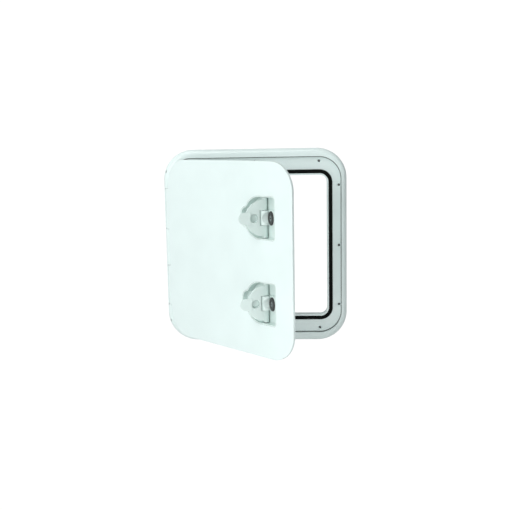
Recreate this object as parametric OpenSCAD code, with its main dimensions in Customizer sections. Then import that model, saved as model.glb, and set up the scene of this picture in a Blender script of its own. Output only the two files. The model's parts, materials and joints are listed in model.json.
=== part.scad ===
// Opening access hatch: a flanged frame with a seal, a hinged lid and two lift-lever latches with key locks.
// Plan frame used below: X to the right, Y up along the hinge, Z outward from the mounting face.
// upright() stands the plan frame up, so that outward is -Y and the hinge is parallel to Z.

/* [Frame] */
// Width across the frame
frame_w = 356; // [350:1:362]
// Height of the frame
frame_h = 380; // [376:1:392]
// Radius of the frame's outer corners
frame_corner_r = 58; // [56:0.5:60]
// Height of the rim above the mounting face
rim_h = 8; // [7.9:0.1:8.3]
// Width of the rim along the two upright sides
rim_side_w = 10; // [9.8:0.1:10.5]
// Width of the rim along the top and bottom
rim_end_w = 16; // [12:0.5:18]
// Radius of the recess corners inside the rim
recess_corner_r = 44; // [42:0.5:46]
// Thickness of the flange floor
flange_t = 3; // [2.8:0.1:3.1]
// Width of the gutter at the foot of the rim
gutter_w = 1.6; // [1:0.1:2]
// Depth of the gutter below the flange floor
gutter_depth = 1.2; // [0.6:0.1:1.4]

/* [Opening] */
// Width of the clear opening
opening_w = 280; // [276:1:282]
// Height of the clear opening
opening_h = 276; // [272:1:280]
// Radius of the opening's corners
opening_corner_r = 14; // [10:1:18]
// Wall thickness of the coaming around the opening
coaming_t = 3; // [2.5:0.1:3.4]
// Reach of the coaming behind the mounting face
coaming_depth = 12; // [10:0.5:12]
// Height of the coaming's lip above the mounting face
coaming_lip_h = 4.4; // [3.6:0.1:4.6]

/* [Seal] */
// Width of the seal strip
seal_w = 7.4; // [6:0.1:8]
// Top of the compressed seal above the mounting face
seal_top = 4.75; // [4.4:0.05:4.8]

/* [Fixing screws] */
// Distance of the side screws from the centre line
side_screw_x = 163; // [162:0.5:163]
// Height of the outer side screws above and below the middle
side_screw_y = 118; // [100:1:120]
// Distance of the end screws from the centre line
end_screw_x = 125; // [90:1:125]
// Height of the end screws above and below the middle
end_screw_y = 165; // [160:1:166]
// Radius of a screw hole
screw_hole_r = 2.3; // [2:0.1:2.6]
// Radius of the countersink at the flange floor
screw_sink_r = 4.2; // [3.6:0.1:4.4]
// Thickness of the foam gasket behind the flange
bedding_t = 1; // [0.8:0.1:1.2]

/* [Lid] */
// Gap between the lid and the rim
lid_gap = 1.5; // [1.4:0.1:2]
// Radius of the lid's corners
lid_corner_r = 51; // [48:0.5:53]
// Thickness of the lid's skin
lid_skin_t = 3; // [2.8:0.1:3]
// Radius of the rounding along the lid's outer edge
lid_edge_r = 1.4; // [0.8:0.1:1.6]
// Opening angle of the lid in the rest pose
lid_rest_angle = 42.5; // [0:0.5:120]

/* [Hinges] */
// Inward distance of the hinge axis from the frame's left edge
hinge_inset = 5.5; // [5.3:0.1:5.7]
// Height of the hinge axis above the mounting face
hinge_h = 4.4; // [4.3:0.1:4.5]
// Radius of the lid's knuckles
knuckle_r = 2.8; // [2.6:0.1:2.8]
// Radius of the hinge pins
hinge_pin_r = 1.25; // [1:0.05:1.4]
// Length of each hinge slot in the rim
hinge_slot_l = 80; // [60:1:90]
// Height of each hinge above and below the middle
hinge_y = 76; // [70:1:80]

/* [Latches] */
// Distance of the latch centres from the centre line of the frame
latch_x = 88; // [84:0.5:88]
// Height of each latch above and below the middle
latch_y = 75; // [74:0.5:78]
// Radius of the latch recess
latch_r = 36; // [35:0.5:36]
// Depth of the latch recess below the lid's face
cup_depth = 14.5; // [14.5:0.1:15]
// Reach of the finger notch from the latch centre
notch_reach = 44; // [43:0.5:46]
// Half height of the finger notch
notch_half = 17; // [15:0.5:19]
// Lift of the levers in the rest pose
lever_rest_angle = 60; // [0:1:70]
// Radius of the lever's shaft
shaft_r = 2; // [1.8:0.1:2]
// Slope of the lock's face against the lid
ramp_angle = 25; // [22:0.5:25]
// Radius of the lock's round surround
bezel_r = 12.2; // [11:0.1:12.2]

/* [Hidden] */
$fn = 96;
eps = 0.01;
through = 1;

plastic_white = [0.93, 0.97, 0.96];
rubber_black = [0.03, 0.03, 0.035];
plastic_black = [0.05, 0.05, 0.055];
steel = [0.72, 0.73, 0.74];
zinc = [0.6, 0.6, 0.62];

// Frame
recess_w = frame_w - 2 * rim_side_w;
recess_h = frame_h - 2 * rim_end_w;
rim_land_h = 1;
rim_curve_r = (pow(rim_side_w, 2) + pow(rim_h - rim_land_h, 2)) / (2 * (rim_h - rim_land_h));
sink_floor_h = 1.2;
bedding_inset = 3;
bedding_gap = 0.5;

// Hinges: pins go in through the rim at the corners, across the slots and into the middle of the rim
hinge_x = -frame_w / 2 + hinge_inset;
hinge_slot_floor = hinge_h - knuckle_r - 0.3;
knuckle_end_gap = 0.4;
pin_inner_y = hinge_y - hinge_slot_l / 2 - 10;
pin_outer_y = hinge_y + hinge_slot_l / 2 + 29;
pin_bore_end_y = pin_outer_y + 20;
frame_pin_clearance = 0.03;
knuckle_pin_clearance = 0.05;

// Lid
lid_w = recess_w - 2 * lid_gap;
lid_h = recess_h - 2 * lid_gap;
lid_top = rim_h;
lid_under = lid_top - lid_skin_t;
skirt_t = 3;
skirt_bottom = flange_t + 0.3;
guide_gap = 3;
guide_t = 2.5;
guide_bottom = -2;
rib_t = 2;
rib_bottom = 0;
rib_field_right = 32;
rib_columns = [-104, -70, -36, -2];
rib_rows = [-90, -45, 45, 90];

// Latch, in its own plan frame: origin at the latch centre on the lid's face, Z outward
cup_wall = 2;
cup_seam = 0.2;
cup_corner_r = 4;
notch_corner_r = 12;
notch_depth = 10;
flange_reach = 6;
gasket_t = 0.4;
cup_flange_t = 1.2;
gasket_bottom = -lid_skin_t - gasket_t;
cup_flange_bottom = gasket_bottom - cup_flange_t;
cup_screw_inset = 4.3;
cup_screw_y = 28;
cup_screw_turn = 120;
cup_screw_points = [for (s = [-1, 1]) each [[latch_r + cup_screw_inset, s * cup_screw_y],
    [cos(cup_screw_turn), s * sin(cup_screw_turn)] * (latch_r + cup_screw_inset)]];
cup_screw_r = 1.25;
cup_screw_bite = 2.2;
cup_screw_head_r = 2.1;
cup_screw_head_h = 1.6;
shaft_x = 5;
shaft_depth = 9;
running_clearance = 0.06;
hump_r = 9.5;
hump_half = 12.5;
ramp_half = 13.5;
ramp_low_x = 11;
ramp_rise = tan(ramp_angle);
ramp_top_drop = 0.5;
function ramp_z(x) = -ramp_top_drop - (latch_r - x) * ramp_rise;
o_ring_r = 0.6;
o_ring_seat = 1.3;
o_ring_mid_r = shaft_r + 0.1 + o_ring_r;
o_ring_pocket_r = o_ring_mid_r + o_ring_r + 0.1;

// Lock, along the normal of its sloping face
lock_x = 24.4;
lock_r = 8;
lock_fit = 0.05;
lock_l = 23;
lock_boss_r = 10.5;
lock_boss_end = 15.8;
lock_nut_t = 3;
lock_nut_r = 10.5;
bezel_t = 2.2;
bezel_room = 0.4;
plug_r = 5;
plug_fit = 0.06;
plug_proud = 1.8;
plug_tail_r = 3;
key_slot_w = 1.3;
key_slot_l = 6.4;
key_slot_depth = 3;
cam_gap = 0.3;
cam_t = 2;
cam_r = 6;
cam_reach = 8.5;
cam_tip_r = 3;
cam_screw_r = 1.4;
cam_screw_l = 7;
cam_screw_head_r = 3.4;
cam_screw_head_h = 1.6;

// Lever
lever_gap = 5;
lever_corner_r = 1.5;
hub_r = 5;
hub_inner = hump_half + 0.8;
hub_outer = 34.5;
lever_t = 3.5;
lever_top = -0.4;
lever_flat_end = -24;
lever_centre_end = shaft_x - hump_r - 0.9;
lever_fit = 0.02;
tab_half = 10.5;
tab_end = notch_reach - 1;
tab_top = 0.8;
tab_bottom = -2.4;
dish_x = -15.7;
dish_r = 7.5;
dish_wall = 1.3;
dish_floor = -7;

// Hooks: two arms on the shaft's ends, joined by a cross bar behind the cup
arm_inner = 39.3;
arm_t = 2.5;
arm_hub_r = 4;
hook_clearance = 0.4;
hook_top = -coaming_depth - lid_top - hook_clearance;
hook_thick = 2.4;
hook_tip_x = opening_w / 2 + 6.5 - latch_x;
hook_knee_x = opening_w / 2 - 1.5 - latch_x;
arm_knee_x = 44;
bar_left = 45;
bar_w = 4;
bar_h = 3.4;
bar_top = hook_top - 0.2;
clip_t = 0.8;
clip_r = 3.6;
clip_groove = 0.5;
clip_gap = 0.2;
shaft_end = 1;
spring_wire_r = 0.5;
spring_coil_r = 3.3;
spring_turns = 3;
spring_pitch = 1.3;
spring_leg = 14;
spring_sides = 8;
spring_steps = 20;
spring_y = arm_inner + arm_t + 1.4;
spring_room = spring_turns * spring_pitch + 2 * spring_wire_r;
shaft_top_y = arm_inner + arm_t + clip_gap + clip_t + shaft_end;
shaft_bottom_y = spring_y + spring_room + clip_gap + clip_t + shaft_end;

// ---------- placing ----------
module upright() rotate([90, 0, 0]) children();

// Turns what is drawn on the closed lid out to the rest pose
module on_lid() {
    upright()
    translate([hinge_x, 0, hinge_h])
    rotate([0, -lid_rest_angle, 0])
    translate([-hinge_x, 0, -hinge_h])
    children();
}

module on_latch(side) on_lid() translate([latch_x, side * latch_y, lid_top]) children();

// Turns what is drawn on the closed lever up to the rest pose, about its shaft
module on_lever(side) {
    on_latch(side)
    translate([shaft_x, 0, -shaft_depth])
    rotate([0, lever_rest_angle, 0])
    translate([-shaft_x, 0, shaft_depth])
    children();
}

// Z runs out along the lock's normal, with zero on its sloping seat
module along_lock() translate([lock_x, 0, ramp_z(lock_x)]) rotate([0, -ramp_angle, 0]) children();

// Z runs along the shaft, towards -Y
module along_shaft() translate([shaft_x, 0, -shaft_depth]) rotate([90, 0, 0]) children();

// ---------- outlines ----------
module rounded_rect(w, h, r) {
    square([w - 2 * r, h], center = true);
    square([w, h - 2 * r], center = true);
    for (sx = [-1, 1], sy = [-1, 1])
        translate([sx * (w / 2 - r), sy * (h / 2 - r)]) circle(r);
}

module slab(w, h, r, low, high) {
    translate([0, 0, low]) linear_extrude(high - low) rounded_rect(w, h, r);
}

module slab_ring(w, h, r, wall, low, high) {
    translate([0, 0, low]) linear_extrude(high - low) difference() {
        rounded_rect(w, h, r);
        rounded_rect(w - 2 * wall, h - 2 * wall, r - wall);
    }
}

// Sweeps a profile (x inward from 0 to negative, y outward) around a rounded rectangle
module edge_sweep(w, h, r) {
    for (side = [0, 1]) rotate([0, 0, 180 * side]) {
        translate([w / 2, h / 2 - r, 0]) rotate([90, 0, 0]) linear_extrude(h - 2 * r) children();
        translate([w / 2 - r, h / 2, 0]) rotate([90, 0, 90]) mirror([0, 0, 1])
            linear_extrude(w - 2 * r) children();
        translate([w / 2 - r, h / 2 - r, 0]) rotate_extrude(angle = 90) translate([r, 0]) children();
        translate([-w / 2 + r, h / 2 - r, 0]) rotate([0, 0, 90])
            rotate_extrude(angle = 90) translate([r, 0]) children();
    }
}

module d_outline(grow) {
    r = latch_r + grow;
    c = max(lever_corner_r, cup_corner_r + grow);
    circle(r);
    translate([0, -r]) square([r - c, 2 * r]);
    translate([0, -r + c]) square([r, 2 * (r - c)]);
    for (s = [-1, 1]) translate([r - c, s * (r - c)]) circle(c);
}

module notch_outline(grow) {
    translate([-notch_reach / 2, 0])
        rounded_rect(notch_reach + 2 * grow, 2 * (notch_half + grow), notch_corner_r + grow);
}

module cup_outline(grow) {
    d_outline(grow);
    notch_outline(grow);
}

// ---------- frame ----------
module rim_profile() intersection() {
    translate([-rim_side_w, 0]) square([rim_side_w, rim_h]);
    translate([-rim_side_w, rim_h - rim_curve_r]) circle(rim_curve_r);
}

module screw_hole(x, y) translate([x, y, 0]) {
    translate([0, 0, -bedding_t - through])
        cylinder(r = screw_hole_r, h = bedding_t + flange_t + 2 * through);
    translate([0, 0, sink_floor_h])
        cylinder(r1 = screw_hole_r, r2 = screw_sink_r, h = flange_t - sink_floor_h);
    translate([0, 0, flange_t]) cylinder(r = screw_sink_r, h = through);
}

module screw_holes() {
    for (sx = [-1, 1], row = [-1, 0, 1]) screw_hole(sx * side_screw_x, row * side_screw_y);
    for (sy = [-1, 1], column = [-1, 0, 1]) screw_hole(column * end_screw_x, sy * end_screw_y);
}

module hinge_slot(side) {
    translate([-frame_w / 2 - through, side * hinge_y - hinge_slot_l / 2, hinge_slot_floor])
        cube([rim_side_w + through + gutter_w / 2, hinge_slot_l, rim_h]);
}

module hinge_bore(side) {
    translate([hinge_x, side * pin_inner_y, hinge_h]) rotate([-90 * side, 0, 0])
        cylinder(r = hinge_pin_r + frame_pin_clearance, h = pin_bore_end_y - pin_inner_y);
}

module frame() color(plastic_white) upright() difference() {
    union() {
        difference() {
            union() {
                edge_sweep(frame_w, frame_h, frame_corner_r) rim_profile();
                slab(frame_w - 2 * rim_side_w, frame_h - 2 * rim_side_w,
                    frame_corner_r - rim_side_w, 0, rim_h);
            }
            slab(recess_w, recess_h, recess_corner_r, flange_t, rim_h + through);
            slab_ring(recess_w, recess_h, recess_corner_r, gutter_w, flange_t - gutter_depth, rim_h);
        }
        slab(opening_w + 2 * coaming_t, opening_h + 2 * coaming_t, opening_corner_r + coaming_t,
            -coaming_depth, coaming_lip_h);
    }
    slab(opening_w, opening_h, opening_corner_r, -coaming_depth - through, rim_h);
    screw_holes();
    for (side = [-1, 1]) {
        hinge_slot(side);
        hinge_bore(side);
    }
}

// Foam strip glued behind the flange, punched for the screws
module flange_gasket() color(rubber_black) upright() difference() {
    slab(frame_w - 2 * bedding_inset, frame_h - 2 * bedding_inset, frame_corner_r - bedding_inset,
        -bedding_t, 0);
    slab(opening_w + 2 * (coaming_t + bedding_gap), opening_h + 2 * (coaming_t + bedding_gap),
        opening_corner_r + coaming_t + bedding_gap, -bedding_t - through, through);
    screw_holes();
}

seal_gap = 0.1;
seal_round = 0.8;
module seal_profile() {
    seal_t = seal_top - flange_t;
    translate([-seal_w + seal_gap, 0]) square([seal_w - seal_gap, seal_t - seal_round]);
    translate([-seal_w + seal_gap + seal_round, 0]) square([seal_w - seal_gap - 2 * seal_round, seal_t]);
    for (x = [-seal_w + seal_gap + seal_round, -seal_round])
        translate([x, seal_t - seal_round]) circle(seal_round);
}

module seal() color(rubber_black) upright() translate([0, 0, flange_t])
    edge_sweep(opening_w + 2 * (coaming_t + seal_w), opening_h + 2 * (coaming_t + seal_w),
        opening_corner_r + coaming_t + seal_w) seal_profile();

module hinge_pin(side) color(steel) upright() {
    translate([hinge_x, side * (pin_inner_y + through), hinge_h]) rotate([-90 * side, 0, 0])
        cylinder(r = hinge_pin_r, h = pin_outer_y - pin_inner_y - through);
}

// ---------- lid ----------
module lid_edge_profile() {
    translate([-skirt_t, skirt_bottom]) square([skirt_t, lid_top - lid_edge_r - skirt_bottom]);
    translate([-skirt_t, skirt_bottom]) square([skirt_t - lid_edge_r, lid_top - skirt_bottom]);
    translate([-lid_edge_r, lid_top - lid_edge_r]) circle(lid_edge_r);
}

module lid_rib(x, y, w, h) translate([x, y, rib_bottom]) cube([w, h, lid_under - rib_bottom + eps]);

module lid_ribs() {
    left = -opening_w / 2 + guide_gap + guide_t / 2;
    top = opening_h / 2 - guide_gap - guide_t / 2;
    for (x = rib_columns) lid_rib(x - rib_t / 2, -top, rib_t, 2 * top);
    lid_rib(rib_field_right - rib_t / 2, -top, rib_t, 2 * top);
    for (y = rib_rows) lid_rib(left, y - rib_t / 2, rib_field_right - left, rib_t);
    lid_rib(left, -rib_t / 2, -2 * left, rib_t);
}

module lid_knuckle(side) {
    low = side * hinge_y - hinge_slot_l / 2 + knuckle_end_gap;
    length = hinge_slot_l - 2 * knuckle_end_gap;
    translate([hinge_x, low, hinge_h]) rotate([-90, 0, 0]) cylinder(r = knuckle_r, h = length);
    translate([hinge_x, low, hinge_h]) cube([-lid_w / 2 + skirt_t / 2 - hinge_x, length, knuckle_r]);
}

module lid_knuckle_bore(side) {
    translate([hinge_x, side * hinge_y - hinge_slot_l / 2, hinge_h]) rotate([-90, 0, 0])
        cylinder(r = hinge_pin_r + knuckle_pin_clearance, h = hinge_slot_l);
}

module lid_latch_cutout() {
    translate([0, 0, -lid_skin_t - through]) linear_extrude(lid_skin_t + 2 * through)
        cup_outline(cup_wall + cup_seam);
    for (p = cup_screw_points)
        translate([p.x, p.y, -lid_skin_t - through])
            cylinder(r = cup_screw_r + lock_fit, h = cup_screw_bite + through);
}

module lid_panel() color(plastic_white) on_lid() difference() {
    union() {
        edge_sweep(lid_w, lid_h, lid_corner_r) lid_edge_profile();
        slab(lid_w - 2 * skirt_t, lid_h - 2 * skirt_t, lid_corner_r - skirt_t, lid_under, lid_top);
        slab_ring(opening_w - 2 * guide_gap, opening_h - 2 * guide_gap, opening_corner_r - guide_gap,
            guide_t, guide_bottom, lid_under + eps);
        lid_ribs();
        for (side = [-1, 1]) lid_knuckle(side);
    }
    for (side = [-1, 1]) {
        lid_knuckle_bore(side);
        translate([latch_x, side * latch_y, lid_top]) lid_latch_cutout();
    }
}

// ---------- latch cup ----------
module cup_cavity() {
    translate([0, 0, -cup_depth]) linear_extrude(cup_depth + through) d_outline(0);
    translate([0, 0, -notch_depth]) linear_extrude(notch_depth + through) notch_outline(0);
}

module cup_shell() {
    translate([0, 0, -cup_depth - cup_wall]) linear_extrude(cup_depth + cup_wall) d_outline(cup_wall);
    translate([0, 0, -notch_depth - cup_wall])
        linear_extrude(notch_depth + cup_wall) notch_outline(cup_wall);
    translate([0, 0, cup_flange_bottom]) linear_extrude(cup_flange_t) cup_outline(flange_reach);
    along_lock() translate([0, 0, -lock_boss_end]) cylinder(r = lock_boss_r, h = lock_boss_end / 2);
}

// Bearing hump over the middle of the shaft, and the sloping seat of the lock
module cup_inner_blocks() {
    along_shaft() cylinder(r = hump_r, h = 2 * hump_half, center = true);
    translate([shaft_x - hump_r, -hump_half, -cup_depth - eps])
        cube([2 * hump_r, 2 * hump_half, cup_depth + eps - shaft_depth]);
    translate([0, ramp_half, 0]) rotate([90, 0, 0]) linear_extrude(2 * ramp_half)
        polygon([[ramp_low_x - 1, -cup_depth - eps], [ramp_low_x - 1, ramp_z(ramp_low_x - 1)],
            [latch_r + eps, ramp_z(latch_r + eps)], [latch_r + eps, -cup_depth - eps]]);
}

module o_ring_pocket(s) {
    translate([0, 0, s * (latch_r + cup_wall - o_ring_seat / 2)])
        cylinder(r = o_ring_pocket_r, h = o_ring_seat + 2 * eps, center = true);
}

module latch_cup(side) color(plastic_white) on_latch(side) difference() {
    union() {
        difference() {
            cup_shell();
            cup_cavity();
        }
        cup_inner_blocks();
    }
    along_shaft() {
        cylinder(r = shaft_r + running_clearance, h = 3 * latch_r, center = true);
        for (s = [-1, 1]) o_ring_pocket(s);
    }
    along_lock() {
        cylinder(r = lock_r + lock_fit, h = 3 * lock_l, center = true);
        translate([0, 0, eps]) cylinder(r = bezel_r + bezel_room, h = lock_l);
    }
    for (p = cup_screw_points)
        translate([p.x, p.y, cup_flange_bottom - through])
            cylinder(r = cup_screw_r + lock_fit, h = cup_flange_t + 2 * through);
}

module cup_gasket(side) color(rubber_black) on_latch(side) difference() {
    translate([0, 0, gasket_bottom]) linear_extrude(gasket_t) difference() {
        cup_outline(flange_reach);
        cup_outline(cup_wall + cup_seam);
    }
    for (p = cup_screw_points)
        translate([p.x, p.y, gasket_bottom - through])
            cylinder(r = cup_screw_r + lock_fit, h = gasket_t + 2 * through);
}

module cup_screws(side) color(steel) on_latch(side) {
    for (p = cup_screw_points) translate([p.x, p.y, cup_flange_bottom]) {
        cylinder(r = cup_screw_r, h = cup_flange_t + gasket_t + cup_screw_bite - 2 * lock_fit);
        translate([0, 0, -cup_screw_head_h]) cylinder(r = cup_screw_head_r, h = cup_screw_head_h);
    }
}

module shaft_o_rings(side) color(rubber_black) on_latch(side) along_shaft() {
    for (s = [-1, 1]) translate([0, 0, s * (latch_r + cup_wall - o_ring_seat / 2)])
        rotate_extrude() translate([o_ring_mid_r, 0]) circle(o_ring_r, $fn = 32);
}

// ---------- lock ----------
module lock_body(side) color(zinc) on_latch(side) along_lock() difference() {
    translate([0, 0, -lock_l]) cylinder(r = lock_r, h = lock_l);
    translate([0, 0, -lock_l - through]) cylinder(r = plug_r + plug_fit, h = lock_l + 2 * through);
}

module lock_bezel(side) color(plastic_black) on_latch(side) along_lock() rotate_extrude() {
    inner = plug_r + 2 * plug_fit;
    polygon([[inner, 0], [bezel_r, 0], [bezel_r, bezel_t - 1], [bezel_r - 1, bezel_t],
        [inner + 1, bezel_t], [inner, bezel_t - 1]]);
}

module lock_nut(side) color(steel) on_latch(side) along_lock()
    translate([0, 0, -lock_boss_end - lock_nut_t]) difference() {
        cylinder(r = lock_nut_r, h = lock_nut_t, $fn = 6);
        translate([0, 0, -through]) cylinder(r = lock_r + lock_fit, h = lock_nut_t + 2 * through);
    }

module key_plug(side) color(steel) on_latch(side) along_lock() difference() {
    union() {
        translate([0, 0, -lock_l]) cylinder(r = plug_r, h = lock_l + plug_proud);
        translate([0, 0, -lock_l - cam_gap - cam_t]) cylinder(r = plug_tail_r, h = cam_t + cam_gap + eps);
    }
    translate([-key_slot_l / 2, -key_slot_w / 2, plug_proud - key_slot_depth])
        cube([key_slot_l, key_slot_w, key_slot_depth + through]);
    translate([0, 0, -lock_l - cam_gap - cam_t - through])
        cylinder(r = cam_screw_r + lock_fit, h = cam_screw_l + 2 * through);
}

// Turned back: the arm points up, a quarter turn away from the cross bar
module lock_cam(side) color(steel) on_latch(side) along_lock()
    translate([0, 0, -lock_l - cam_gap - cam_t]) rotate([0, 0, 90]) difference() {
        linear_extrude(cam_t) {
            circle(cam_r);
            translate([0, -cam_tip_r]) square([cam_reach - cam_tip_r, 2 * cam_tip_r]);
            translate([cam_reach - cam_tip_r, 0]) circle(cam_tip_r);
        }
        translate([0, 0, -through]) cylinder(r = plug_tail_r + lock_fit, h = cam_t + 2 * through);
    }

module cam_screw(side) color(steel) on_latch(side) along_lock()
    translate([0, 0, -lock_l - cam_gap - cam_t - lock_fit]) {
        cylinder(r = cam_screw_r, h = cam_screw_l);
        translate([0, 0, -cam_screw_head_h]) cylinder(r = cam_screw_head_r, h = cam_screw_head_h + eps);
    }

// ---------- lever ----------
// Side view: level over the finger tab, then falling to the hubs on the shaft
module lever_side() {
    fall = -shaft_depth + hub_r;
    polygon([[-latch_r, lever_top], [lever_flat_end, lever_top], [-8, lever_top - 1.6], [shaft_x, fall],
        [shaft_x, fall - lever_t - 1], [-8, lever_top - 1.6 - lever_t],
        [lever_flat_end, lever_top - lever_t], [-latch_r, lever_top - lever_t]]);
}

module lever_plate() intersection() {
    translate([0, latch_r, 0]) rotate([90, 0, 0]) linear_extrude(2 * latch_r) lever_side();
    translate([0, 0, -cup_depth]) linear_extrude(cup_depth + through) difference() {
        d_outline(-lever_gap);
        translate([lever_centre_end, -hub_inner]) square([latch_r, 2 * hub_inner]);
    }
}

module latch_lever(side) color(plastic_white) on_lever(side) difference() {
    union() {
        lever_plate();
        translate([0, 0, tab_bottom]) linear_extrude(tab_top - tab_bottom) {
            translate([-tab_end + tab_half, 0]) circle(tab_half);
            translate([-tab_end + tab_half, -tab_half]) square([tab_half, 2 * tab_half]);
        }
        translate([dish_x, 0, dish_floor - dish_wall])
            cylinder(r = dish_r + dish_wall, h = lever_top - 1.6 - dish_floor + dish_wall);
        along_shaft() for (s = [-1, 1]) translate([0, 0, s * (hub_inner + hub_outer) / 2])
            cylinder(r = hub_r, h = hub_outer - hub_inner, center = true);
    }
    translate([dish_x, 0, dish_floor]) cylinder(r = dish_r, h = -dish_floor + through);
    along_shaft() cylinder(r = shaft_r + lever_fit, h = 3 * latch_r, center = true);
}

module clip_seat(y) {
    translate([0, 0, y]) rotate_extrude() translate([shaft_r - clip_groove, 0]) square([clip_groove + eps, clip_t]);
}

module latch_shaft(side) color(steel) on_lever(side) along_shaft() difference() {
    translate([0, 0, -shaft_top_y]) cylinder(r = shaft_r, h = shaft_top_y + shaft_bottom_y);
    clip_seat(-shaft_top_y + shaft_end);
    clip_seat(shaft_bottom_y - shaft_end - clip_t);
}

module shaft_clips(side) color(steel) on_lever(side) along_shaft() {
    for (y = [-shaft_top_y + shaft_end, shaft_bottom_y - shaft_end - clip_t])
        translate([0, 0, y + eps]) difference() {
            cylinder(r = clip_r, h = clip_t - 2 * eps);
            translate([0, 0, -through]) cylinder(r = shaft_r - clip_groove + eps, h = clip_t + 2 * through);
            translate([shaft_r - clip_groove, -shaft_r / 2, -through]) cube([clip_r, shaft_r, clip_t + 2 * through]);
        }
}

// Side view of one hook arm, from its hub on the shaft to the tip behind the coaming
module hook_arm_side() {
    difference() {
        union() {
            translate([shaft_x, -shaft_depth]) circle(arm_hub_r);
            polygon([[shaft_x, -shaft_depth + arm_hub_r], [arm_knee_x, hook_top + 3.8], [hook_knee_x, hook_top],
                [hook_tip_x, hook_top], [hook_tip_x, hook_top - hook_thick],
                [bar_left, hook_top - bar_h - 0.6], [shaft_x, -shaft_depth - arm_hub_r]]);
        }
        translate([shaft_x, -shaft_depth]) circle(shaft_r + lever_fit);
    }
}

module latch_hooks(side) color(steel) on_lever(side) {
    for (y = [arm_inner + arm_t, -arm_inner])
        translate([0, y, 0]) rotate([90, 0, 0]) linear_extrude(arm_t) hook_arm_side();
    translate([bar_left, -arm_inner - eps, bar_top - bar_h]) cube([bar_w, 2 * (arm_inner + eps), bar_h]);
}

// ---------- spring ----------
function spring_point(k) = let (turn = 360 * k / spring_steps)
    [spring_coil_r * cos(turn), spring_coil_r * sin(turn), spring_pitch * k / spring_steps];
function spring_path() = let (last = spring_turns * spring_steps) concat(
    [[spring_coil_r, -spring_leg, 0]],
    [for (k = [0 : last]) spring_point(k)],
    [[spring_coil_r, spring_leg, spring_pitch * spring_turns]]);
function unit(v) = v / norm(v);
function path_dir(path, k) = unit(path[min(k + 1, len(path) - 1)] - path[max(k - 1, 0)]);
function ring_at(path, k, r, sides) = let (
        dir = path_dir(path, k),
        across = unit(cross(dir, [0, 0, 1])),
        up = cross(across, dir))
    [for (s = [0 : sides - 1]) path[k] + r * (cos(360 * s / sides) * across + sin(360 * s / sides) * up)];

// A closed tube along a path of points
module tube(path, r, sides) {
    rings = len(path);
    points = [for (k = [0 : rings - 1]) each ring_at(path, k, r, sides)];
    walls = [for (k = [0 : rings - 2], s = [0 : sides - 1])
        let (a = k * sides + s, b = k * sides + (s + 1) % sides) [a, b, b + sides, a + sides]];
    start_cap = [for (s = [sides - 1 : -1 : 0]) s];
    end_cap = [for (s = [0 : sides - 1]) (rings - 1) * sides + s];
    polyhedron(points, concat(walls, [start_cap, end_cap]));
}

// The legs lie along the lid, under its skin
module latch_spring(side) color(steel) on_latch(side) along_shaft()
    translate([0, 0, spring_y + spring_wire_r]) rotate([0, 0, 90])
    tube(spring_path(), spring_wire_r, spring_sides);

frame();
flange_gasket();
seal();
hinge_pin(1);  // hinge_pin_upper
hinge_pin(-1);  // hinge_pin_lower
lid_panel();
latch_cup(1);  // latch_cup_upper
latch_cup(-1);  // latch_cup_lower
cup_gasket(1);  // cup_gasket_upper
cup_gasket(-1);  // cup_gasket_lower
cup_screws(1);  // cup_screws_upper
cup_screws(-1);  // cup_screws_lower
shaft_o_rings(1);  // shaft_o_rings_upper
shaft_o_rings(-1);  // shaft_o_rings_lower
lock_body(1);  // lock_body_upper
lock_body(-1);  // lock_body_lower
lock_bezel(1);  // lock_bezel_upper
lock_bezel(-1);  // lock_bezel_lower
lock_nut(1);  // lock_nut_upper
lock_nut(-1);  // lock_nut_lower
latch_spring(1);  // latch_spring_upper
latch_spring(-1);  // latch_spring_lower
latch_lever(1);  // latch_lever_upper
latch_lever(-1);  // latch_lever_lower
latch_shaft(1);  // latch_shaft_upper
latch_shaft(-1);  // latch_shaft_lower
latch_hooks(1);  // latch_hooks_upper
latch_hooks(-1);  // latch_hooks_lower
shaft_clips(1);  // shaft_clips_upper
shaft_clips(-1);  // shaft_clips_lower
key_plug(1);  // key_plug_upper
key_plug(-1);  // key_plug_lower
lock_cam(1);  // lock_cam_upper
lock_cam(-1);  // lock_cam_lower
cam_screw(1);  // cam_screw_upper
cam_screw(-1);  // cam_screw_lower
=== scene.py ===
"""Looks of the access hatch: materials, rounded edges, detailed small parts, studio and camera.

Everything is in metres. The hatch stands upright: X runs from the hinge side to the latch side, Z up
along the hinge, and -Y out of the wall that the hatch is set in. Shapes drawn in plan are flat drawings
of X and Z.
"""
import json
import math

import bmesh
import bpy
from mathutils import Matrix, Vector


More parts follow.
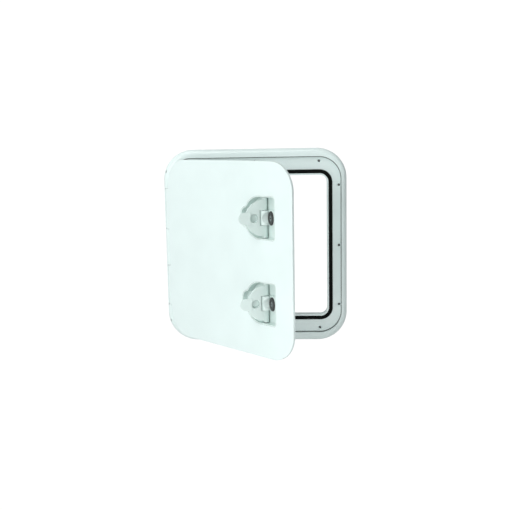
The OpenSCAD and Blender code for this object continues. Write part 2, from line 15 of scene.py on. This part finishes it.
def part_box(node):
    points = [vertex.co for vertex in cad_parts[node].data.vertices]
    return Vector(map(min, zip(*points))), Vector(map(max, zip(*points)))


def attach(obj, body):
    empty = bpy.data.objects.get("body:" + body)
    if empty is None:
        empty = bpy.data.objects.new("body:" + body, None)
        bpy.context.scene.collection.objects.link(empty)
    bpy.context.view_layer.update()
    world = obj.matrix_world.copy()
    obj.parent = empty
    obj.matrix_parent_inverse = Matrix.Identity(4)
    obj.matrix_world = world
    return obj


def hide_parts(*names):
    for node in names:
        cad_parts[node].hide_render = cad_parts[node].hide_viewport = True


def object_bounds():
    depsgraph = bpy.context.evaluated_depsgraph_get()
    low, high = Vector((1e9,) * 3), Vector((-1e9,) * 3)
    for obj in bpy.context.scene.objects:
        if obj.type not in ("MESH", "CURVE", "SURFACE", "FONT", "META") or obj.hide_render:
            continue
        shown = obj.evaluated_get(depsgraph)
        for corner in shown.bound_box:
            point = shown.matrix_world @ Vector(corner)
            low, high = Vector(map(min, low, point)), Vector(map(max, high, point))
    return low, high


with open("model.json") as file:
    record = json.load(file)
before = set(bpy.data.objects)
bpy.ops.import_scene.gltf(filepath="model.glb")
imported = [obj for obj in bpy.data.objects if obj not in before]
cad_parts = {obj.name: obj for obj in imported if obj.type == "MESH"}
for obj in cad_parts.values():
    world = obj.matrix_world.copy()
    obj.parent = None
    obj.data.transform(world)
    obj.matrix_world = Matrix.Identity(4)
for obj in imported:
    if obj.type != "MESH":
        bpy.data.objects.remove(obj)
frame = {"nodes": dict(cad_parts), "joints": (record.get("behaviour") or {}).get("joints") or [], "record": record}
cad_low, cad_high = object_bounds()

MM = 0.001
NODES = frame["nodes"]
JOINTS = {joint["name"]: joint for joint in frame["joints"]}
SIDES = ("upper", "lower")
FULL_TURN = 2 * math.pi


# ---------- materials ----------
class Shader:
    """A material's node tree, with short helpers for the nodes that the finishes below share."""

    def __init__(self, name, roughness, metallic=0.0, ior=1.5):
        self.material = bpy.data.materials.new(name)
        self.material.use_nodes = True
        self.tree = self.material.node_tree
        self.bsdf = self.tree.nodes["Principled BSDF"]
        self.bsdf.inputs["Roughness"].default_value = roughness
        self.bsdf.inputs["Metallic"].default_value = metallic
        self.bsdf.inputs["IOR"].default_value = ior
        self.place = self.node("ShaderNodeTexCoord").outputs["Object"]

    def node(self, kind):
        return self.tree.nodes.new(kind)

    def link(self, source, target):
        self.tree.links.new(source, target)

    def noise(self, size, detail=2.0, stretch=(1, 1, 1)):
        """Noise whose blotches are about size metres across, longer where stretch is over 1."""
        mapping = self.node("ShaderNodeMapping")
        mapping.inputs["Scale"].default_value = [1 / (size * s) for s in stretch]
        self.link(self.place, mapping.inputs["Vector"])
        noise = self.node("ShaderNodeTexNoise")
        noise.inputs["Scale"].default_value = 1.0
        noise.inputs["Detail"].default_value = detail
        self.link(mapping.outputs["Vector"], noise.inputs["Vector"])
        return noise.outputs["Fac"]

    def span(self, factor, low, high, start=0.3, end=0.7):
        """Maps a noise factor to a number from low to high."""
        ramp = self.node("ShaderNodeMapRange")
        for socket, value in (("From Min", start), ("From Max", end), ("To Min", low), ("To Max", high)):
            ramp.inputs[socket].default_value = value
        self.link(factor, ramp.inputs["Value"])
        return ramp.outputs["Result"]

    def tint(self, factor, first, second, start=0.3, end=0.7):
        """Blends two colours by a noise factor, into the base colour."""
        mix = self.node("ShaderNodeMix")
        mix.data_type = "RGBA"
        self.link(self.span(factor, 0, 1, start, end), mix.inputs["Factor"])
        mix.inputs["A"].default_value = (*first, 1)
        mix.inputs["B"].default_value = (*second, 1)
        self.link(mix.outputs["Result"], self.bsdf.inputs["Base Color"])

    def vary_roughness(self, factor, low, high):
        """Spreads the roughness from low to high by a noise factor."""
        self.link(self.span(factor, low, high), self.bsdf.inputs["Roughness"])

    def paint_crevice_shade(self, reach, deepest_painted_shade):
        """Paints shade into the base colour where the surface is closed in within reach metres: painted shade in
        creases, gaps and recesses.
        """
        before = self.bsdf.inputs["Base Color"].links[0].from_socket
        near = self.node("ShaderNodeAmbientOcclusion")
        near.samples = 8
        near.inputs["Distance"].default_value = reach
        mix = self.node("ShaderNodeMix")
        mix.data_type = "RGBA"
        mix.blend_type = "MULTIPLY"
        mix.inputs["Factor"].default_value = 1.0
        shade_colour = self.node("ShaderNodeCombineColor")
        level = self.span(near.outputs["AO"], deepest_painted_shade, 1.0, start=0.32, end=0.75)
        for channel in ("Red", "Green", "Blue"):
            self.link(level, shade_colour.inputs[channel])
        self.link(before, mix.inputs["A"])
        self.link(shade_colour.outputs["Color"], mix.inputs["B"])
        self.link(mix.outputs["Result"], self.bsdf.inputs["Base Color"])

    def bump(self, *layers):
        """Stacks bumps, each a noise factor and its height in metres."""
        before = None
        for factor, height in layers:
            bump = self.node("ShaderNodeBump")
            bump.inputs["Strength"].default_value = 1.0
            bump.inputs["Distance"].default_value = height
            self.link(factor, bump.inputs["Height"])
            if before is not None:
                self.link(before, bump.inputs["Normal"])
            before = bump.outputs["Normal"]
        self.link(before, self.bsdf.inputs["Normal"])


def shade(colour, factor):
    return tuple(min(1.0, c * factor) for c in colour)


def moulded_plastic(name, colour, roughness, grain, ripple, deepest_painted_shade):
    """Glossy moulded plastic: slow colour drift, flow ripple of the mould and a fine skin, with painted shade in
    its creases and recesses.
    """
    s = Shader(name, roughness, ior=1.49)
    s.tint(s.noise(70 * MM, detail=3), shade(colour, 0.975), shade(colour, 1.015))
    # Painted shade in creases and recesses, darker where the surface is closed in within 3.5 mm.
    s.paint_crevice_shade(3.5 * MM, deepest_painted_shade)
    s.vary_roughness(s.noise(30 * MM, detail=4), roughness - 0.05, roughness + 0.06)
    s.bump((s.noise(24 * MM, detail=1), ripple), (s.noise(0.9 * MM, detail=2), grain))
    s.bsdf.inputs["Coat Weight"].default_value = 0.25
    s.bsdf.inputs["Coat Roughness"].default_value = 0.18
    return s.material


def rubber(name, colour):
    """Matt extruded rubber with a pale bloom and fine pits."""
    s = Shader(name, 0.7, ior=1.52)
    s.bsdf.inputs["Specular IOR Level"].default_value = 0.08
    s.tint(s.noise(11 * MM, detail=5), colour, shade(colour, 1.8), start=0.45, end=0.75)
    s.vary_roughness(s.noise(4 * MM, detail=3), 0.6, 0.8)
    s.bump((s.noise(0.5 * MM, detail=3), 0.03 * MM))
    return s.material


def foam(name, colour):
    """Black closed-cell foam: dull, with small open cells on its cut faces."""
    s = Shader(name, 0.9, ior=1.45)
    s.bsdf.inputs["Specular IOR Level"].default_value = 0.1
    s.tint(s.noise(1.6 * MM, detail=4), colour, shade(colour, 2.5), start=0.5, end=0.75)
    s.bump((s.noise(0.7 * MM, detail=3), 0.15 * MM))
    return s.material


def textured_plastic(name, colour):
    """Black moulded plastic with a leather-fine spark texture."""
    s = Shader(name, 0.4, ior=1.49)
    s.tint(s.noise(6 * MM, detail=4), colour, shade(colour, 1.9))
    s.vary_roughness(s.noise(2 * MM, detail=3), 0.32, 0.5)
    s.bump((s.noise(0.4 * MM, detail=2), 0.02 * MM))
    return s.material


def brushed_steel(name, colour):
    """Stainless steel with fine lines along the hinge direction and faint stains."""
    roughness = 0.26
    s = Shader(name, roughness, metallic=1.0, ior=1.5)
    s.tint(s.noise(8 * MM, detail=4), shade(colour, 0.86), colour)
    lines = s.noise(0.22 * MM, detail=3, stretch=(1, 1, 60))
    s.vary_roughness(lines, roughness - 0.07, roughness + 0.12)
    s.bump((lines, 0.012 * MM))
    return s.material


def plated_zinc(name, colour):
    """Bright plated die casting, slightly cloudy and pitted."""
    s = Shader(name, 0.22, metallic=1.0, ior=1.5)
    s.tint(s.noise(5 * MM, detail=5), shade(colour, 0.8), colour)
    s.vary_roughness(s.noise(3 * MM, detail=4), 0.16, 0.34)
    s.bump((s.noise(1.2 * MM, detail=3), 0.02 * MM))
    return s.material


WHITE = (0.76, 0.88, 0.865)
# The latches' colour is the white plastic's colour painted about an eighth darker. This is painted shade for the
# light that the latches get less of than the lid.
LATCH_WHITE_SHADED = (0.66, 0.78, 0.75)
BLACK = (0.012, 0.013, 0.013)
RUBBER_BLACK = (0.0028, 0.0042, 0.0036)
STEEL_GREY = (0.66, 0.67, 0.68)
ZINC_GREY = (0.3, 0.31, 0.32)
# Each plastic's last number is how dark the painted shade in its creases and recesses may get: near black on the
# white plastic, faint on the latches.
FINISHES = {
    "white_plastic": moulded_plastic("white_plastic", WHITE, roughness=0.34, grain=0.004 * MM,
                                     ripple=0.06 * MM, deepest_painted_shade=0.05),
    "latch_plastic": moulded_plastic("latch_plastic", LATCH_WHITE_SHADED, roughness=0.38, grain=0.006 * MM,
                                     ripple=0.02 * MM, deepest_painted_shade=0.8),
    "black_rubber": rubber("black_rubber", RUBBER_BLACK),
    "black_foam": foam("black_foam", RUBBER_BLACK),
    "black_plastic": textured_plastic("black_plastic", BLACK),
    "stainless_steel": brushed_steel("stainless_steel", STEEL_GREY),
    "plated_zinc": plated_zinc("plated_zinc", ZINC_GREY),
}
SLOT_OF = {part["node"]: part["material_slot"] for part in frame["record"]["subparts"]}


def set_finish(obj, slot):
    """Gives the object the material of its slot, and no other."""
    obj.data.materials.clear()
    obj.data.materials.append(FINISHES[slot])


# ---------- edges of the CAD parts ----------
JOIN_WITHIN = 0.002 * MM
FLAT_WITHIN = math.radians(0.3)
SHARP_FROM = math.radians(25)


def round_edges(obj, width, clear_flats):
    """Joins the part's faces, clears the flat triangles if asked and rounds its sharp edges."""
    weld = obj.modifiers.new("join faces", "WELD")
    weld.merge_threshold = JOIN_WITHIN
    if clear_flats:
        flat = obj.modifiers.new("clear flats", "DECIMATE")
        flat.decimate_type = "DISSOLVE"
        flat.angle_limit = FLAT_WITHIN
    bevel = obj.modifiers.new("round edges", "BEVEL")
    bevel.width = width
    bevel.segments = 2
    bevel.limit_method = "ANGLE"
    bevel.angle_limit = SHARP_FROM
    bevel.miter_outer = "MITER_ARC"
    normals = obj.modifiers.new("even shading", "WEIGHTED_NORMAL")
    normals.keep_sharp = True


# How wide the rounding of each kind of part is. The kinds not named here stay as the CAD has them.
ROUNDING = {
    "frame": 0.4 * MM, "lid_panel": 0.35 * MM, "latch_cup": 0.45 * MM, "latch_lever": 0.7 * MM,
    "latch_hooks": 0.25 * MM, "lock_bezel": 0.3 * MM, "lock_nut": 0.4 * MM, "key_plug": 0.2 * MM,
    "lock_cam": 0.2 * MM, "latch_shaft": 0.2 * MM, "shaft_clips": 0.08 * MM, "hinge_pin": 0.2 * MM,
    "cup_gasket": 0.08 * MM,
}
# Kinds of part that keep the triangles of their flat faces, as clearing them spoils the shading round ribs.
RIBBED = {"lid_panel"}


def part_kind(node):
    """The node's name without its side."""
    for side in SIDES:
        node = node.removesuffix("_" + side)
    return node


def finish_cad_parts():
    """Gives every CAD part its material and rounds the edges of those that need it."""
    for node, obj in NODES.items():
        set_finish(obj, SLOT_OF[node])
        width = ROUNDING.get(part_kind(node))
        if width:
            round_edges(obj, width, part_kind(node) not in RIBBED)


# ---------- places on the lid ----------
SHAFT_TO_CUP_CENTRE = Vector((-5, 0, 9)) * MM


def lid_axes(origin):
    """X along the lid away from the hinge, Y up along the hinge, Z out of the lid's face."""
    opened = math.radians(-JOINTS["lid_hinge"]["range_deg"][0])
    x = Vector((math.cos(opened), -math.sin(opened), 0))
    y = Vector((0, 0, 1))
    return Matrix.Translation(origin) @ Matrix((x, y, x.cross(y))).transposed().to_4x4()


def shaft_place(side):
    """Origin on the lever's shaft at the middle of the latch, Z down along the shaft."""
    joint = JOINTS[f"lever_{side}_lift"]
    return lid_axes(Vector(joint["pos_m"])) @ Matrix.Rotation(math.radians(90), 4, "X")


def latch_place(side):
    """Origin at the centre of the round recess, level with the lid's face."""
    joint = JOINTS[f"lever_{side}_lift"]
    return lid_axes(Vector(joint["pos_m"])) @ Matrix.Translation(SHAFT_TO_CUP_CENTRE)


def axis_frame(origin, outward):
    """Z along outward, Y up along the hinge, at origin."""
    z = Vector(outward).normalized()
    y = Vector((0, 0, 1))
    x = y.cross(z)
    return Matrix.Translation(origin) @ Matrix((x, y, z)).transposed().to_4x4()


def lock_place(side):
    """Origin on the lock's sloping seat, Z out along its normal."""
    joint = JOINTS[f"key_{side}_turn"]
    return axis_frame(Vector(joint["pos_m"]), -Vector(joint["axis"]))


# ---------- meshes ----------
def new_piece(name, bm, body, slot, replaced, smooth=True):
    """Turns the mesh into a piece that moves with body and stands for the replaced CAD nodes."""
    mesh = bpy.data.meshes.new(name)
    bm.normal_update()
    bm.to_mesh(mesh)
    bm.free()
    obj = bpy.data.objects.new(name, mesh)
    bpy.context.scene.collection.objects.link(obj)
    for face in mesh.polygons:
        face.use_smooth = smooth
    set_finish(obj, slot)
    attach(obj, body)
    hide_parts(*replaced)
    return obj


def keep_creases(piece, angle=40):
    """Shades the piece smoothly, except across edges sharper than angle in degrees."""
    mesh = piece.data
    bm = bmesh.new()
    bm.from_mesh(mesh)
    for edge in bm.edges:
        edge.smooth = edge.calc_face_angle(0) < math.radians(angle)
    bm.to_mesh(mesh)
    bm.free()


def finished(bm):
    """The mesh with its faces turned outward."""
    bmesh.ops.recalc_face_normals(bm, faces=bm.faces)
    return bm


def grid_faces(bm, rings, closed_across, closed_along):
    """Quads between neighbouring rings of vertices."""
    count = len(rings[0])
    for i in range(len(rings) if closed_along else len(rings) - 1):
        a, b = rings[i], rings[(i + 1) % len(rings)]
        for j in range(count if closed_across else count - 1):
            k = (j + 1) % count
            bm.faces.new((a[j], a[k], b[k], b[j]))


def rounded_rect_stations(width, height, radius, corner_steps):
    """Points and outward normals round a rounded rectangle in plan, anticlockwise."""
    stations = []
    for corner, (sx, sy) in enumerate(((1, 1), (-1, 1), (-1, -1), (1, -1))):
        centre = Vector((sx * (width / 2 - radius), sy * (height / 2 - radius)))
        for step in range(corner_steps + 1):
            angle = math.radians(90) * (corner + step / corner_steps)
            normal = Vector((math.cos(angle), math.sin(angle)))
            stations.append((centre + normal * radius, normal))
    return stations


def swept_seal():
    """The rubber strip round the coaming: a flat foot with two soft ridges and a groove between."""
    low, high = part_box("seal")
    strip_width = 6.8 * MM
    corner_radius = 24.4 * MM
    edge = 0.7 * MM
    ridge_half = 1.35 * MM
    groove_depth = 0.55 * MM
    ridges = 2
    steps = 28
    top, foot = -low.y, -high.y
    profile = [(0, foot), (0, top - edge)]
    for i in range(steps + 1):
        across = strip_width * i / steps
        wave = (1 - math.cos(FULL_TURN * ridges * i / steps)) / 2
        shoulder = min(1.0, (min(across, strip_width - across) / ridge_half))
        rise = edge * math.sqrt(max(0.0, 1 - (1 - shoulder) ** 2))
        groove = groove_depth * (1 - wave) if shoulder >= 1 else 0
        profile.append((across, top - edge + rise - groove))
    profile += [(strip_width, top - edge), (strip_width, foot)]
    bm = bmesh.new()
    rings = []
    stations = rounded_rect_stations(high.x - low.x, high.z - low.z, corner_radius, corner_steps=14)
    for point, normal in stations:
        ring = []
        for inward, height in profile:
            flat = point - normal * inward
            ring.append(bm.verts.new((flat.x, -height, flat.y)))
        rings.append(ring)
    grid_faces(bm, rings, closed_across=True, closed_along=True)
    bmesh.ops.remove_doubles(bm, verts=bm.verts, dist=0.0001 * MM)
    new_piece("rubber_seal", finished(bm), "frame", "black_rubber", ["seal"])


def ring_of(bm, place, radius_at, height, count):
    """A closed ring of vertices round the Z axis; radius_at gives the radius for an angle."""
    ring = []
    for k in range(count):
        angle = FULL_TURN * k / count
        radius = radius_at(angle)
        point = Vector((radius * math.cos(angle), radius * math.sin(angle), height))
        ring.append(bm.verts.new(place @ point))
    return ring


def constant(radius):
    """The outline of a circle, for ring_of."""
    return lambda angle: radius


def cross_recess(arm, half_width):
    """The outline of a cross recess, for ring_of."""
    def reach(angle):
        c, s = (max(abs(f(angle)), 1e-6) for f in (math.cos, math.sin))
        return max(min(arm / c, half_width / s), min(arm / s, half_width / c))
    return reach


def threaded(radius, depth, pitch, height):
    """The outline of a screw thread at a height, for ring_of."""
    def reach(angle):
        phase = (height / pitch - angle / FULL_TURN) % 1.0
        return radius - depth * abs(2 * phase - 1)
    return reach


def add_screw(bm, place, shank_radius, shank_length, head_radius, head_height, arm):
    """A pan-head screw: shank along +Z from the head's bearing face at zero, head below it."""
    count = 48
    pitch = 0.9 * MM
    steps_per_pitch = 6
    depth = 0.12 * shank_radius
    tip = 0.3 * shank_radius
    rings = [ring_of(bm, place, constant(tip), shank_length, count)]
    steps = int(shank_length / pitch * steps_per_pitch)
    for step in range(steps, -1, -1):
        height = (shank_length - tip) * step / steps
        rings.append(ring_of(bm, place, threaded(shank_radius, depth, pitch, height), height, count))
    rings.append(ring_of(bm, place, constant(head_radius), 0, count))
    dome_steps = 6
    dome_turn = math.radians(80)
    flat_share, rim_share = 0.55, 0.25
    for step in range(dome_steps + 1):
        turn = dome_turn * step / dome_steps
        radius = head_radius * (flat_share + (1 - flat_share) * math.cos(turn))
        rise = math.sin(turn) / math.sin(dome_turn)
        height = -head_height * (rim_share + (1 - rim_share) * rise)
        rings.append(ring_of(bm, place, constant(radius), height, count))
    arm_half_width = 0.3 * arm
    floor_share = 0.8
    floor_height = -0.35 * head_height
    rings.append(ring_of(bm, place, cross_recess(arm, arm_half_width), -head_height, count))
    floor_outline = cross_recess(floor_share * arm, floor_share * arm_half_width)
    rings.append(ring_of(bm, place, floor_outline, floor_height, count))
    grid_faces(bm, rings, closed_across=True, closed_along=False)
    for end in (rings[0], rings[-1]):
        bm.faces.new(end)


def cup_screw_set(side):
    """The screws that clamp the latch cup and its gasket to the lid from behind."""
    bearing = -4.6 * MM
    ring_radius = 40.3 * MM
    ring_turn = math.radians(120)
    edge_pair_y = 28 * MM
    bm = bmesh.new()
    for end in (-1, 1):
        edge_point = (ring_radius, end * edge_pair_y, bearing)
        ring_point = (ring_radius * math.cos(ring_turn), end * ring_radius * math.sin(ring_turn), bearing)
        for point in (edge_point, ring_point):
            place = latch_place(side) @ Matrix.Translation(point)
            add_screw(bm, place, shank_radius=1.25 * MM, shank_length=3.7 * MM, head_radius=2.1 * MM,
                      head_height=1.6 * MM, arm=1.15 * MM)
    piece = new_piece(f"pan_head_screws_{side}", finished(bm), "lid", "stainless_steel",
                      [f"cup_screws_{side}"])
    keep_creases(piece)


def cam_screw_piece(side):
    """Fixes the cam to the tail of the lock's plug."""
    bearing = -25.35 * MM
    bm = bmesh.new()
    place = lock_place(side) @ Matrix.Translation((0, 0, bearing))
    add_screw(bm, place, shank_radius=1.4 * MM, shank_length=6.9 * MM, head_radius=3.4 * MM,
              head_height=1.55 * MM, arm=2 * MM)
    piece = new_piece(f"cam_pan_screw_{side}", finished(bm), f"key_{side}", "stainless_steel",
                      [f"cam_screw_{side}"])
    keep_creases(piece)


def threaded_lock_body(side):
    """The lock's barrel, with the thread that its nut runs on and two plain ends."""
    radius = 7.98 * MM
    bore = 5.08 * MM
    length = 23 * MM
    pitch = 1.0 * MM
    depth = 0.45 * MM
    plain = 1.2 * MM
    chamfer = 0.4 * MM
    gap = 0.02 * MM
    count = 64
    steps = 110
    place = lock_place(side)
    bm = bmesh.new()
    rings = [ring_of(bm, place, constant(bore), -gap, count),
             ring_of(bm, place, constant(radius - chamfer), -gap, count)]
    for step in range(steps + 1):
        height = -chamfer - (length - 2 * chamfer) * step / steps
        from_ends = min(-height, length + height)
        fade = min(1.0, max(0.0, (from_ends - plain) / pitch))
        rings.append(ring_of(bm, place, threaded(radius, fade * depth, pitch, height), height, count))
    rings += [ring_of(bm, place, constant(radius - chamfer), -length + gap, count),
              ring_of(bm, place, constant(bore), -length + gap, count)]
    grid_faces(bm, rings, closed_across=True, closed_along=True)
    piece = new_piece(f"threaded_barrel_{side}", finished(bm), "lid", "plated_zinc",
                      [f"lock_body_{side}"])
    keep_creases(piece, angle=50)


def tube_along(bm, path, radius, sides):
    """A round wire along a path of points."""
    rings = []
    for k, point in enumerate(path):
        ahead = (path[min(k + 1, len(path) - 1)] - path[max(k - 1, 0)]).normalized()
        across = ahead.cross(Vector((0, 0, 1))).normalized()
        rise = across.cross(ahead)
        rings.append([bm.verts.new(point + radius * (math.cos(a) * across + math.sin(a) * rise))
                      for a in (FULL_TURN * s / sides for s in range(sides))])
    grid_faces(bm, rings, closed_across=True, closed_along=False)
    for end in (rings[0], rings[-1]):
        bm.faces.new(end)


def coil_spring(side):
    """Torsion spring round the end of the shaft, with two straight legs."""
    coil_radius = 3.3 * MM
    wire_radius = 0.49 * MM
    turns = 3
    pitch = 1.3 * MM
    leg = 13.9 * MM
    down_the_shaft = 43.7 * MM
    turn_steps = 48
    leg_steps = 6
    path = [Vector((coil_radius, -leg * (1 - k / leg_steps), 0)) for k in range(leg_steps)]
    for k in range(turns * turn_steps + 1):
        turn = FULL_TURN * k / turn_steps
        rise = pitch * k / turn_steps
        path.append(Vector((coil_radius * math.cos(turn), coil_radius * math.sin(turn), rise)))
    path += [Vector((coil_radius, leg * k / leg_steps, pitch * turns)) for k in range(1, leg_steps + 1)]
    bm = bmesh.new()
    tube_along(bm, path, wire_radius, sides=16)
    coil_place = Matrix.Translation((0, 0, down_the_shaft)) @ Matrix.Rotation(math.radians(90), 4, "Z")
    bmesh.ops.transform(bm, matrix=shaft_place(side) @ coil_place, verts=bm.verts)
    piece = new_piece(f"torsion_spring_{side}", finished(bm), "lid", "stainless_steel",
                      [f"latch_spring_{side}"])
    keep_creases(piece, angle=60)


def foam_gasket_darkening_holes():
    """The black foam strip behind the flange, with pin holes that the fixing screws have yet to open. Besides
    being a gasket, it is a dark sheet put behind the frame's screw holes so that they show black, standing for the
    shade deep in them.
    """
    low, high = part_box("flange_gasket")
    outer_corner, inner_corner = 55 * MM, 17.5 * MM
    inner_width, inner_height = 287 * MM, 283 * MM
    side_x, side_y = 163 * MM, 118 * MM
    end_x, end_y = 125 * MM, 165 * MM
    pin_hole_radius = 0.45 * MM
    hole_steps = 16
    holes = [(sx * side_x, sy * side_y) for sx in (-1, 1) for sy in (-1, 0, 1)]
    holes += [(sx * end_x, sy * end_y) for sx in (-1, 0, 1) for sy in (-1, 1)]
    outer = rounded_rect_stations(high.x - low.x, high.z - low.z, outer_corner, corner_steps=16)
    inner = rounded_rect_stations(inner_width, inner_height, inner_corner, corner_steps=10)
    loops = [[point for point, _ in stations] for stations in (outer, inner)]
    for x, y in holes:
        loops.append([Vector((x + pin_hole_radius * math.cos(a), y + pin_hole_radius * math.sin(a)))
                      for a in (FULL_TURN * k / hole_steps for k in range(hole_steps))])
    bm = bmesh.new()
    front_edges, back_edges = [], []
    for loop in loops:
        front = [bm.verts.new((p.x, low.y, p.y)) for p in loop]
        back = [bm.verts.new((p.x, high.y, p.y)) for p in loop]
        for k in range(len(loop)):
            n = (k + 1) % len(loop)
            face = bm.faces.new((front[k], front[n], back[n], back[k]))
            front_edges.append(face.edges[0])
            back_edges.append(face.edges[2])
    for edges in (front_edges, back_edges):
        bmesh.ops.triangle_fill(bm, edges=edges, use_beauty=True)
    # The foam closes the screw holes from behind, so they show dark: a dark sheet standing for the shade in them.
    new_piece("bedding_foam_darkening_holes", finished(bm), "frame", "black_foam", ["flange_gasket"], smooth=False)


# ---------- studio ----------
SEEN_WHITE = 1.05


def show_to_camera(tree, usual, shown, surface):
    """Sends the shown shader to the surface for the camera, and the usual one for all other light."""
    mix = tree.nodes.new("ShaderNodeMixShader")
    path = tree.nodes.new("ShaderNodeLightPath")
    tree.links.new(path.outputs["Is Camera Ray"], mix.inputs["Fac"])
    tree.links.new(usual, mix.inputs[1])
    tree.links.new(shown, mix.inputs[2])
    tree.links.new(mix.outputs["Shader"], surface)


def pale_floor():
    """Matt pale paint that the camera sees as plain white."""
    material = bpy.data.materials.new("pale_floor")
    material.use_nodes = True
    tree = material.node_tree
    bsdf = tree.nodes["Principled BSDF"]
    bsdf.inputs["Base Color"].default_value = (0.9, 0.9, 0.9, 1)
    bsdf.inputs["Roughness"].default_value = 0.9
    glow = tree.nodes.new("ShaderNodeEmission")
    glow.inputs["Strength"].default_value = SEEN_WHITE
    show_to_camera(tree, bsdf.outputs["BSDF"], glow.outputs["Emission"],
                   tree.nodes["Material Output"].inputs["Surface"])
    return material


def make_floor():
    """A floor below the hatch, which hangs above it as it would in a wall."""
    reach = 6.0
    drop = 0.12
    bm = bmesh.new()
    bmesh.ops.create_grid(bm, x_segments=1, y_segments=1, size=reach)
    mesh = bpy.data.meshes.new("floor")
    bm.to_mesh(mesh)
    bm.free()
    mesh.materials.append(pale_floor())
    floor = bpy.data.objects.new("floor", mesh)
    floor.location = (0, 0, cad_low.z - drop)
    bpy.context.scene.collection.objects.link(floor)


def area_light(name, place, target, size, power):
    """A flat soft light of the given width and height, turned to the target."""
    data = bpy.data.lights.new(name, "AREA")
    data.shape = "RECTANGLE"
    data.size, data.size_y = size
    data.energy = power
    light = bpy.data.objects.new(name, data)
    light.location = place
    light.rotation_euler = (Vector(target) - Vector(place)).to_track_quat("-Z", "Y").to_euler()
    bpy.context.scene.collection.objects.link(light)


def dimmer_on_the_right(tree, strength):
    """A strength that falls from the hinge side of the studio to the latch side."""
    hinge_side = 1.4 * strength
    latch_side = 0.35 * strength
    direction = tree.nodes.new("ShaderNodeTexCoord")
    split = tree.nodes.new("ShaderNodeSeparateXYZ")
    fall = tree.nodes.new("ShaderNodeMapRange")
    for socket, value in (("From Min", -1), ("From Max", 1), ("To Min", hinge_side), ("To Max", latch_side)):
        fall.inputs[socket].default_value = value
    tree.links.new(direction.outputs["Generated"], split.inputs["Vector"])
    tree.links.new(split.outputs["X"], fall.inputs["Value"])
    return fall.outputs["Result"]


def white_background(tree, strength):
    """An even white light from all round."""
    background = tree.nodes.new("ShaderNodeBackground")
    background.inputs["Color"].default_value = (1, 1, 1, 1)
    background.inputs["Strength"].default_value = strength
    return background


def make_world(ambient):
    """White behind the object, and a softer light on it that dims towards the latch side."""
    world = bpy.data.worlds.new("studio")
    world.use_nodes = True
    bpy.context.scene.world = world
    tree = world.node_tree
    tree.nodes.clear()
    out = tree.nodes.new("ShaderNodeOutputWorld")
    lighting = white_background(tree, ambient)
    tree.links.new(dimmer_on_the_right(tree, ambient), lighting.inputs["Strength"])
    backdrop = white_background(tree, SEEN_WHITE)
    show_to_camera(tree, lighting.outputs["Background"], backdrop.outputs["Background"],
                   out.inputs["Surface"])


def make_camera():
    """Looks at the origin from the photograph's side, height and distance."""
    azimuth, elevation, roll = (math.radians(degrees) for degrees in (3.5, 8.21, -1.04))
    distance = 1.5146
    focal_mm = 54.12
    sensor_mm = 36
    shift_x, shift_y = -0.0019, -0.0183
    back = Vector((math.sin(azimuth) * math.cos(elevation),
                   -math.cos(azimuth) * math.cos(elevation), math.sin(elevation)))
    level = Vector((math.cos(azimuth), math.sin(azimuth), 0))
    rise = back.cross(level)
    right = level * math.cos(roll) + rise * math.sin(roll)
    up = rise * math.cos(roll) - level * math.sin(roll)
    data = bpy.data.cameras.new("camera")
    data.lens = focal_mm
    data.sensor_width = sensor_mm
    data.shift_x = shift_x
    data.shift_y = shift_y
    data.dof.use_dof = False
    camera = bpy.data.objects.new("camera", data)
    turned = Matrix((right, up, back)).transposed().to_4x4()
    camera.matrix_world = Matrix.Translation(back * distance) @ turned
    bpy.context.scene.collection.objects.link(camera)
    bpy.context.scene.camera = camera


make_camera()
make_world(ambient=0.48)
make_floor()
area_light("key", place=(-1.45, -2.55, 0.62), target=(0, 0, 0), size=(1.0, 1.0), power=24.5)
area_light("top", place=(-0.5, -1.2, 1.65), target=(0, 0, 0), size=(1.2, 1.2), power=15.5)
area_light("low", place=(0.25, -0.6, -0.26), target=(0.1, 0, -0.15), size=(0.7, 0.08), power=0.5)
bpy.context.scene.view_settings.view_transform = "Standard"

finish_cad_parts()
swept_seal()
foam_gasket_darkening_holes()
for latch_side in SIDES:
    cup_screw_set(latch_side)
    cam_screw_piece(latch_side)
    threaded_lock_body(latch_side)
    coil_spring(latch_side)
